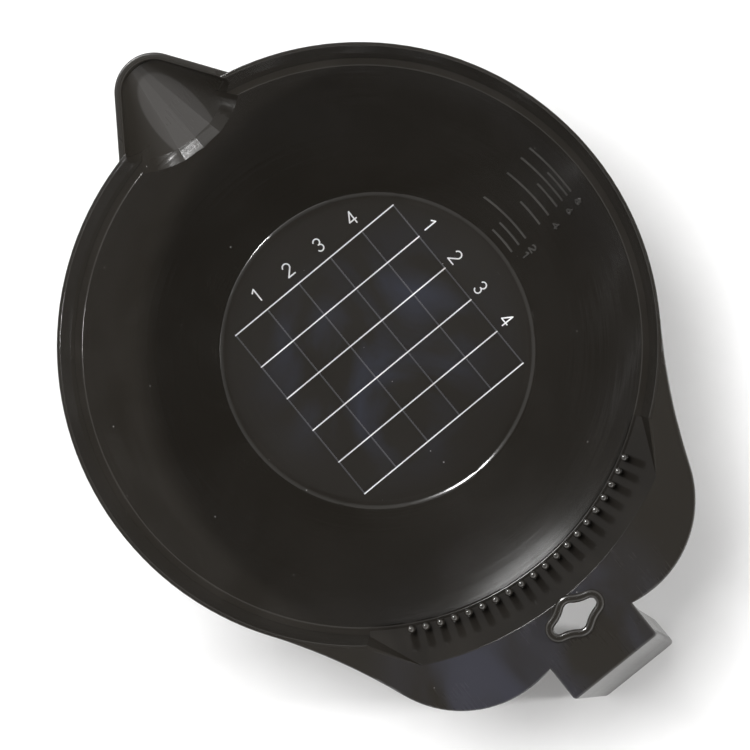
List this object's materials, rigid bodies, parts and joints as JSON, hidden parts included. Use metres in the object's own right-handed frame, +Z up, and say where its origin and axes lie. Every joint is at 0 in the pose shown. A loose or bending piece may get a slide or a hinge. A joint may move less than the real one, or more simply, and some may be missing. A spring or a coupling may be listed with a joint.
{
  "type": "hair color bowl",
  "caption": "Black plastic hair color mixing bowl with a pouring beak, a brush shelf with wiping pins and a hanging hole, and a turned-down handle.",
  "frame": {"origin": "on the bowl's axis, in the plane the foot stands on", "axes": "+Z up along the bowl's axis, +X towards the handle, -X towards the pouring beak"},
  "size_m": [0.1864, 0.142, 0.0689],
  "materials": {
    "bowl_plastic": "moulded gloss",
    "shelf_plastic": "moulded gloss",
    "handle_plastic": "moulded gloss",
    "raised_marks": "moulded gloss"
  },
  "bodies": {
    "root": {"bowl_floor": "bowl_plastic", "bowl_wall": "bowl_plastic", "foot_skirt": "bowl_plastic", "foot_bead": "bowl_plastic", "rim_ledge": "bowl_plastic", "rim_collar": "bowl_plastic", "pour_spout": "bowl_plastic", "brush_shelf": "shelf_plastic", "wiper_trough": "shelf_plastic", "trough_cheek_left": "shelf_plastic", "trough_cheek_right": "shelf_plastic", "wiper_pins": "shelf_plastic", "hang_hole_bead": "shelf_plastic", "shelf_edge_skirt_left": "shelf_plastic", "shelf_edge_skirt_right": "shelf_plastic", "handle_tab": "handle_plastic", "handle_grip": "handle_plastic", "handle_flange_left": "handle_plastic", "handle_flange_right": "handle_plastic", "floor_gate_mark": "raised_marks", "grid_lines_across": "raised_marks", "grid_lines_along": "raised_marks", "grid_numerals_across": "raised_marks", "grid_numerals_along": "raised_marks", "volume_marks_long": "raised_marks", "volume_marks_short": "raised_marks", "volume_numerals": "raised_marks"}
  },
  "joints": []
}
